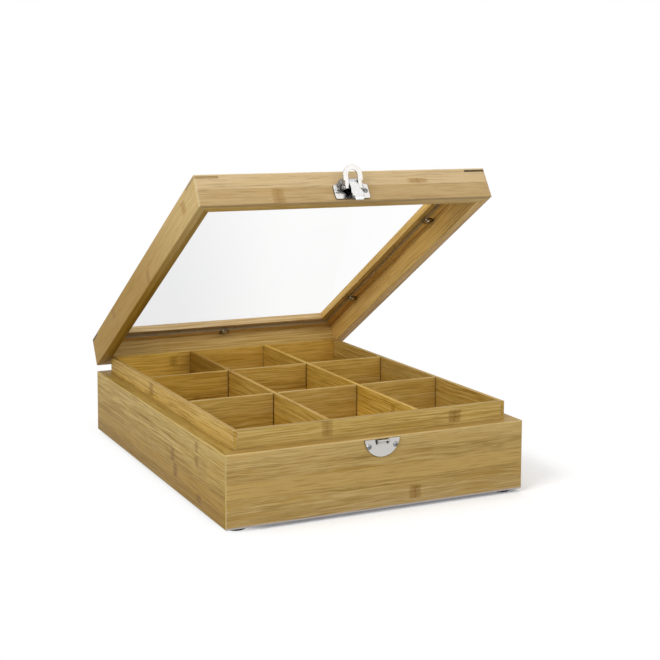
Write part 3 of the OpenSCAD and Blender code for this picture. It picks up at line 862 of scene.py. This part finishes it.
KEY_WOOD = BambooFinish(
    "key_wood",
    Tints(pale=(0.120, 0.082, 0.026), middle=(0.085, 0.056, 0.016), dark=(0.045, 0.028, 0.008),
          golden=(0.090, 0.058, 0.015), mark=(0.030, 0.020, 0.006)), KEY_GRAIN)
PALE_KEY_WOOD = BambooFinish(
    "pale_key_wood",
    Tints(pale=(0.440, 0.290, 0.120), middle=(0.350, 0.220, 0.080), dark=(0.240, 0.140, 0.045),
          golden=(0.360, 0.220, 0.070), mark=(0.150, 0.080, 0.020)), KEY_GRAIN)
BRIGHT_PLATE = MetalFinish("bright_plate")
POLISHED_PLATE = MetalFinish("polished_plate", bright=(0.80, 0.795, 0.785), rubbed=(0.72, 0.715, 0.71),
                             edge_shade_share=0.85)
SATIN_PLATE = MetalFinish("satin_plate", bright=(0.60, 0.58, 0.555), rubbed=(0.48, 0.465, 0.445),
                          edge_shade_share=0.85, roughness=0.18)
DULL_STEEL = MetalFinish("dull_steel", bright=(0.34, 0.34, 0.335), rubbed=(0.20, 0.20, 0.20), roughness=0.24)
# A darker, browner copy of the plating: painted shade for the clips under the lid.
SHADED_PLATE = MetalFinish("shaded_plate", bright=(0.30, 0.25, 0.17), rubbed=(0.20, 0.16, 0.10),
                          painted_hollow_shade=(0.03, 0.025, 0.018))


# ---- The box's sub-assemblies -------------------------------------------------------------------


def dress(node: str, material: bpy.types.Material) -> None:
    """Gives a CAD node its material.

    Args:
        node: The node's name.
        material: The material.
    """
    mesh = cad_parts[node].data
    mesh.materials.clear()
    mesh.materials.append(material)
    LOG.info("%s: %s", node, material.name)


class Woodwork:
    """What the wooden sub-assemblies share: each board gets its own cut of one finish."""

    finish: BambooFinish
    low: float
    strip: float

    def boards(self) -> tuple[Board, ...]:
        """Lists the sub-assembly's boards."""
        raise NotImplementedError

    def shared(self) -> dict[str, object]:
        """Gives the values that the boards have in common."""
        return {"edge": self.low, "strip": self.strip}

    def cut(self, node: str, grain: Axis, seed: float, tone: Colour, *marks: Mark, **finer: object) -> Board:
        """Describes one board: what the boards have in common, and over it the board's own values."""
        return Board(node, grain, seed=seed, tone=tone, marks=marks, **{**self.shared(), **finer})

    def build(self) -> None:
        """Dresses each board."""
        for board in self.boards():
            dress(board.node, self.finish.material(board))


class Fittings:
    """What the sub-assemblies of metal, rubber and acrylic share: nodes listed by finish."""

    def pieces(self) -> Dressing:
        """Lists each finish with the nodes that have it."""
        raise NotImplementedError

    def build(self) -> None:
        """Dresses each node."""
        for finish, nodes in self.pieces():
            material = finish.material()
            for node in nodes:
                dress(node, material)


@dataclass
class Base(Woodwork):
    """The outer box: four walls about a bottom panel."""

    finish: BambooFinish = OUTER_BAMBOO
    low: float = 2.0 * MM
    strip: float = 9.9 * MM
    panel_strip: float = 19.0 * MM
    # Height of the pale band painted along the walls' foot as the floor's reflection.
    rubbed_below: float = 4.0 * MM
    front_pale_below: float = 20.0 * MM
    left_dark_below: float = 35.0 * MM

    def shared(self) -> dict[str, object]:
        """Gives the values that the walls have in common."""
        return {**super().shared(), "rubbed_below": self.rubbed_below}

    def boards(self) -> tuple[Board, ...]:
        """Lists the walls and the panel.

        Returns:
            Their boards.
        """
        return (
            # The fades paint the front wall paler and bluer toward its foot and the left wall darker: partly the
            # boards' own tone, partly painted light and shade near the floor.
            self.cut("base_front_wall", Axis.X, 1.3, (0.96, 0.97, 1.00),
                     Mark(0.0262, 0.0112, 9.6 * MM, 9.0 * MM, 0.75),
                     fade=Fade((1.20, 1.28, 1.75), self.front_pale_below, self.low)),
            self.cut("base_left_wall", Axis.Y, 2.1, (0.87, 0.87, 0.66),
                     Mark(-0.0970, 0.0445, 8.0 * MM, 6.0 * MM),
                     Mark(-0.0975, 0.0350, 8.0 * MM, 7.0 * MM),
                     Mark(-0.0490, 0.0280, 10.0 * MM, 8.0 * MM, 0.7),
                     Mark(-0.0545, 0.0180, 10.0 * MM, 9.0 * MM, 0.75),
                     Mark(-0.1014, 0.0100, 6.5 * MM, 9.0 * MM, 0.6),
                     fade=Fade((0.78, 0.69, 0.34), self.left_dark_below, self.low), contrast=1.6),
            self.cut("base_right_wall", Axis.Y, 3.7, NEUTRAL,
                     Mark(-0.0400, 0.0070), Mark(0.0830, 0.0260, strength=0.75)),
            self.cut("base_back_wall", Axis.X, 4.9, NEUTRAL,
                     Mark(-0.0610, 0.0360), Mark(0.0880, 0.0070, strength=0.75)),
            self.cut("base_bottom_panel", Axis.Y, 5.2, NEUTRAL,
                     Mark(0.0300, 0.0290, 18.0 * MM), Mark(-0.0900, -0.0470, 18.0 * MM),
                     rise=Axis.X, edge=0.0, strip=self.panel_strip, rubbed_below=None),
        )


@dataclass
class InnerBoards(Woodwork):
    """What the liner and the dividers share: thin boards of the inner bamboo on the bottom panel."""

    finish: BambooFinish = INNER_BAMBOO
    low: float = 5.3 * MM
    strip: float = 14.75 * MM
    contrast: float = 1.35

    def shared(self) -> dict[str, object]:
        """Gives the values that the boards have in common."""
        return {**super().shared(), "contrast": self.contrast}


@dataclass
class Liner(InnerBoards):
    """The thin frame inside the base that stands above its rim and centres the lid."""

    back_paler: Span = (-20.0 * MM, -60.0 * MM)

    def boards(self) -> tuple[Board, ...]:
        """Lists the frame's four boards.

        Returns:
            The boards.
        """
        return (
            self.cut("liner_front", Axis.X, 6.4, (0.92, 0.95, 1.04),
                     Mark(-0.0356, 0.0590, 11.0 * MM, 8.0 * MM), Mark(0.0626, 0.0575, 9.0 * MM, 10.0 * MM, 0.8)),
            # The back board is painted lighter overall, and more toward the left: painted light where the lid shades
            # it.
            self.cut("liner_back", Axis.X, 7.7, (1.36, 1.34, 1.22), Mark(-0.0500, 0.0570),
                     fade=Fade((1.34, 1.38, 1.30), *self.back_paler, Run.ALONG_GRAIN)),
            self.cut("liner_left", Axis.Y, 8.1, (0.95, 0.93, 0.84), Mark(0.0262, 0.0580, 11.0 * MM, 10.0 * MM, 0.7)),
            self.cut("liner_right", Axis.Y, 9.6, NEUTRAL, Mark(-0.0200, 0.0420)),
        )


@dataclass
class Dividers(InnerBoards):
    """The four cross-halved slats that make the nine cells."""

    long_darker: Span = (-30.0 * MM, 70.0 * MM)
    cross_darker: Span = (-20.0 * MM, -55.0 * MM)

    def boards(self) -> tuple[Board, ...]:
        """Lists the slats.

        Returns:
            Their boards.
        """
        return (
            # Two slats darken toward the back and toward the left: partly their own tone, partly painted shade.
            self.cut("long_divider_left", Axis.Y, 10.2, (1.00, 0.95, 0.74), Mark(0.0150, 0.0420),
                     fade=Fade((0.80, 0.72, 0.52), *self.long_darker, Run.ALONG_GRAIN)),
            self.cut("long_divider_right", Axis.Y, 11.5, (1.24, 1.20, 0.88), Mark(-0.1050, 0.0570)),
            self.cut("cross_divider_front", Axis.X, 12.9, (1.05, 1.06, 1.08), Mark(0.0420, 0.0570)),
            self.cut("cross_divider_back", Axis.X, 13.3, (1.14, 1.13, 1.06), Mark(-0.0620, 0.0420),
                     fade=Fade((0.82, 0.76, 0.56), *self.cross_darker, Run.ALONG_GRAIN)),
        )


@dataclass
class LidFrame(Woodwork):
    """The lid's four mitred rails, pale on their outer faces."""

    finish: BambooFinish = LID_BAMBOO
    low: float = 51.8 * MM
    strip: float = 12.0 * MM
    broad_strip: float = 26.0 * MM
    half_width: float = 112.5 * MM
    front_face: float = -148.7 * MM
    back_face: float = 139.3 * MM
    left_core_from: float = 3.6 * MM
    left_darker: Span = (-148.0 * MM, 20.0 * MM)

    def shared(self) -> dict[str, object]:
        """Gives the values that the rails have in common."""
        return {**super().shared(), "on_lid": True}

    def boards(self) -> tuple[Board, ...]:
        """Lists the rails.

        Returns:
            Their boards.
        """
        return (
            self.cut("lid_front_rail", Axis.X, 14.8, (1.00, 1.04, 1.18),
                     Mark(-0.0548, 0.0577, 11.5 * MM, 9.0 * MM, 0.65),
                     Mark(0.0545, 0.0664, 4.0 * MM, 16.0 * MM, 0.75), face=self.front_face),
            # The left rail darkens toward the back, and its inner and under faces are darkened: painted shade, with
            # the rail's own tone in the fade.
            self.cut("lid_left_rail", Axis.Y, 15.1, (1.215, 1.29, 1.25),
                     Mark(-0.1206, 0.0650, 10.0 * MM, 9.0 * MM, 0.7),
                     Mark(-0.0260, 0.0575, 11.0 * MM, 8.0 * MM, 0.6),
                     Mark(0.0700, 0.0700, 10.0 * MM, 8.0 * MM), face=-self.half_width,
                     fade=Fade((0.64, 0.52, 0.16), *self.left_darker, Run.ALONG_GRAIN), strip=self.broad_strip,
                     contrast=1.7, core_from=self.left_core_from, core_tone=(0.50, 0.47, 0.42)),
            self.cut("lid_right_rail", Axis.Y, 16.6, (1.15, 1.14, 1.14), Mark(0.0100, 0.0580),
                     face=self.half_width),
            self.cut("lid_back_rail", Axis.X, 17.4, (1.06, 1.08, 1.12),
                     Mark(-0.0524, 0.0595, 11.0 * MM, 8.0 * MM, 0.7), Mark(0.0700, 0.0700), face=self.back_face,
                     core_tone=(1.01, 1.04, 1.15), sill_tone=(1.0, 1.05, 1.55)),
        )


@dataclass
class CornerKeys(Woodwork):
    """The splines let into the lid's mitred corners."""

    finish: BambooFinish
    corners: tuple[str, ...]
    seed: float
    low: float = 51.8 * MM
    strip: float = 12.0 * MM

    def boards(self) -> tuple[Board, ...]:
        """Lists the keys."""
        return tuple(self.cut(f"corner_key_{corner}", Axis.X, self.seed + index, NEUTRAL, on_lid=True)
                     for index, corner in enumerate(self.corners))


@dataclass
class Window(Fittings):
    """The clear pane and the turned clips that hold it in the lid."""

    pane: PaneFinish = PaneFinish()
    # The clips' plating is painted darker, as shade under the lid.
    clip: MetalFinish = SHADED_PLATE
    screw: MetalFinish = BRIGHT_PLATE
    clip_places: tuple[str, ...] = ("front", "right_front", "right_back", "back", "left_back", "left_front")

    def pieces(self) -> Dressing:
        """Lists the pane, the clips and their screws.

        Returns:
            Their finishes and nodes.
        """
        return ((self.pane, ("window_pane",)),
                (self.clip, tuple(f"pane_clip_{place}" for place in self.clip_places)),
                (self.screw, ("pane_clip_screws",)))


@dataclass
class Hinges(Fittings):
    """The two stop hinges at the back."""

    plate: MetalFinish = BRIGHT_PLATE

    def pieces(self) -> Dressing:
        """Lists the leaves, the pins and the screws."""
        leaves = tuple(f"{side.value}_hinge_{part}" for side in Side for part in ("lower_leaf", "upper_leaf", "pin"))
        return ((self.plate, (*leaves, "hinge_lower_screws", "hinge_upper_screws")),)


@dataclass
class Latch(Fittings):
    """The over-centre latch on the lid: plate, rivets, lever, pin and hooked link."""

    plate: MetalFinish = SATIN_PLATE
    link: MetalFinish = POLISHED_PLATE
    screw: MetalFinish = DULL_STEEL

    def pieces(self) -> Dressing:
        """Lists the plated parts and the screws.

        Returns:
            Their finishes and nodes.
        """
        return ((self.plate, ("latch_plate", "latch_rivets", "latch_lever")),
                (self.link, ("latch_link_pin", "latch_link")),
                (self.screw, ("latch_plate_screws",)))


@dataclass
class Strike(Fittings):
    """The half-round plate on the base that the latch's link hooks onto."""

    plate: MetalFinish = SATIN_PLATE
    screw: MetalFinish = DULL_STEEL

    def pieces(self) -> Dressing:
        """Lists the plate and its screws."""
        return ((self.plate, ("strike_plate",)), (self.screw, ("strike_screws",)))


@dataclass
class Feet(Fittings):
    """The four rubber pads under the base."""

    rubber: RubberFinish = RubberFinish()

    def pieces(self) -> Dressing:
        """Lists the pads."""
        return ((self.rubber, tuple(f"foot_{end}_{side.value}" for end in ("front", "back") for side in Side)),)


# ---- Studio -------------------------------------------------------------------------------------


@dataclass(frozen=True)
class SoftBox:
    """A square lamp that points at the box."""

    name: str
    place: Place
    size: float
    power: float
    target: Place = (0.0, 0.0, 0.06)

    def build(self) -> None:
        """Makes the lamp."""
        data = bpy.data.lights.new(self.name, "AREA")
        data.shape = "SQUARE"
        data.size = self.size
        data.energy = self.power
        lamp = bpy.data.objects.new(self.name, data)
        lamp.location = self.place
        lamp.rotation_mode = "QUATERNION"
        lamp.rotation_quaternion = (Vector(self.target) - Vector(self.place)).to_track_quat("-Z", "Y")
        bpy.context.scene.collection.objects.link(lamp)


@dataclass
class Studio:
    """The pale floor, the white surroundings and the soft lamps."""

    floor_half: float = 4.0
    floor_seen: float = 0.98
    floor_bounce: float = 0.60
    footprint: Place = (0.085, 0.135, 0.0)
    shadow_centre: Place = (0.035, 0.022, 0.0)
    shadow_near: Span = (0.0, 0.040)
    shadow_far: Span = (0.040, 0.072)
    shadow_share: Span = (0.95, 0.85)
    world_strength: float = 0.58
    lamps: tuple[SoftBox, ...] = (
        SoftBox("key_lamp", (-1.20, -0.62, 1.05), 0.7, 12.5),
        SoftBox("fill_lamp", (0.55, -1.35, 0.85), 1.6, 5.5),
        SoftBox("top_lamp", (0.1, 0.3, 2.2), 1.6, 14.5),
    )

    def build(self) -> None:
        """Makes the floor, the world and the lamps."""
        self._floor()
        self._world()
        for lamp in self.lamps:
            lamp.build()

    @staticmethod
    def _seen(shade: Shade) -> Socket:
        """Finds the rays that see plain white: those of the eye, of glossy faces and through clear ones."""
        rays = shade.node("LightPath").outputs
        return shade.larger(shade.larger(rays["Is Camera Ray"], rays["Is Transmission Ray"]), rays["Is Glossy Ray"])

    def _floor(self) -> None:
        """Makes the floor, which is white but for the shadow of the box."""
        half = self.floor_half
        corners = [(-half, -half, 0.0), (half, -half, 0.0), (half, half, 0.0), (-half, half, 0.0)]
        mesh = bpy.data.meshes.new("floor")
        mesh.from_pydata(corners, [], [(0, 1, 2, 3)])
        floor = bpy.data.objects.new("floor", mesh)
        bpy.context.scene.collection.objects.link(floor)
        shade = Shade(bpy.data.materials.new("pale_floor"))
        eye = shade.node("LightPath").outputs["Is Camera Ray"]
        grey = shade.blend(eye, (self.floor_bounce,) * 3, (self.floor_seen,) * 3)
        lit = shade.node("BsdfDiffuse", {"Color": grey})
        glow = shade.node("Emission", {"Color": NEUTRAL})
        away = self._distance(shade)
        shadow = shade.times(shade.spread(away, self.shadow_near, self.shadow_share),
                             shade.spread(away, self.shadow_far, (1.0, 0.0)))
        white = shade.times(self._seen(shade), shade.minus(1.0, shadow))
        shade.show(shade.join(white, lit, glow))
        mesh.materials.append(shade.owner)

    def _distance(self, shade: Shade) -> Socket:
        """Measures how far a point of the floor is from the box's footprint, set over towards the shadow's side.

        Args:
            shade: The floor's tree.

        Returns:
            The distance in metres.
        """
        point = shade.place()
        for operation, other in (("SUBTRACT", self.shadow_centre), ("ABSOLUTE", None),
                                 ("SUBTRACT", self.footprint), ("MAXIMUM", (0.0, 0.0, 0.0))):
            inputs = {0: point} if other is None else {0: point, 1: other}
            point = shade.node("VectorMath", inputs, operation=operation).outputs["Vector"]
        return shade.node("VectorMath", {0: point}, operation="LENGTH").outputs["Value"]

    def _world(self) -> None:
        """Makes the surroundings: white where they are seen, and softer as a light."""
        world = bpy.data.worlds.new("white_studio")
        bpy.context.scene.world = world
        shade = Shade(world, "OutputWorld")
        strength = shade.spread(self._seen(shade), (0.0, 1.0), (self.world_strength, 1.0))
        shade.show(shade.node("Background", {"Color": NEUTRAL, "Strength": strength}))


@dataclass(frozen=True)
class Camera:
    """The camera's place, turn and lens."""

    place: Place = (-0.41008, -0.90368, 0.27377)
    yaw: float = 24.850
    pitch: float = 5.570
    roll: float = 0.090
    focal_pixels: float = 1311.9
    centre_pixels: tuple[float, float] = (300.0, 230.0)
    image_pixels: float = 660.0
    sensor: float = 36.0

    def build(self) -> None:
        """Makes the camera and makes it the scene's own."""
        yaw, pitch, roll = (math.radians(angle) for angle in (self.yaw, self.pitch, self.roll))
        ahead = Vector((math.sin(yaw) * math.cos(pitch), math.cos(yaw) * math.cos(pitch), -math.sin(pitch)))
        level = Vector((math.cos(yaw), -math.sin(yaw), 0.0))
        above = level.cross(ahead)
        right = level * math.cos(roll) + above * math.sin(roll)
        up = above * math.cos(roll) - level * math.sin(roll)
        data = bpy.data.cameras.new("camera")
        data.sensor_width = self.sensor
        data.lens = self.focal_pixels / self.image_pixels * self.sensor
        data.shift_x = 0.5 - self.centre_pixels[0] / self.image_pixels
        data.shift_y = self.centre_pixels[1] / self.image_pixels - 0.5
        camera = bpy.data.objects.new("camera", data)
        turn = Matrix((right, up, -ahead)).transposed().to_4x4()
        turn.translation = Vector(self.place)
        camera.matrix_world = turn
        bpy.context.scene.collection.objects.link(camera)
        bpy.context.scene.camera = camera


def main() -> None:
    """Builds the box's sub-assemblies and the studio in order."""
    logging.basicConfig(level=logging.INFO, format="%(name)s: %(message)s")
    bpy.context.scene.view_settings.view_transform = "Standard"
    dark_keys = CornerKeys(KEY_WOOD, ("front_right", "back_left", "back_right"), seed=18.0)
    pale_key = CornerKeys(PALE_KEY_WOOD, ("front_left",), seed=22.0)
    for assembly in (Base(), Liner(), Dividers(), Feet(), Strike(), Hinges(),
                     LidFrame(), dark_keys, pale_key, Window(), Latch()):
        assembly.build()
    Studio().build()
    Camera().build()


if __name__ == "__main__":
    main()
